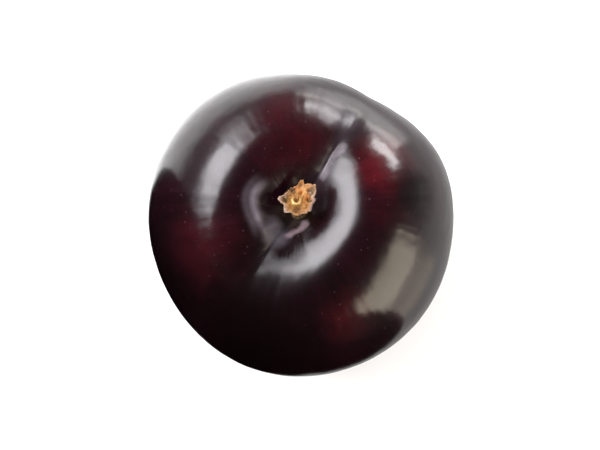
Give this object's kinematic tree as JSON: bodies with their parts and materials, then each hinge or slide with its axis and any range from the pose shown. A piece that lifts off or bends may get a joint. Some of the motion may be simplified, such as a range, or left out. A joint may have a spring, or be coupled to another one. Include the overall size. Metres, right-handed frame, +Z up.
{
  "type": "plum",
  "caption": "Ripe dark plum standing on its blossom end: two unequal lobes along a suture, a stalk cavity and a short stalk with a torn, flared end.",
  "frame": {"origin": "middle of the plum's box in plan, on the surface it stands on", "axes": "+Z up, at the stalk end; -Y the side with the suture; +X across the suture, towards the lobe that stands a little lower"},
  "size_m": [0.058, 0.0558, 0.049],
  "materials": {
    "skin": "gloss",
    "stalk": "matte"
  },
  "bodies": {
    "root": {"fruit": "skin", "stem": "stalk"}
  },
  "joints": []
}
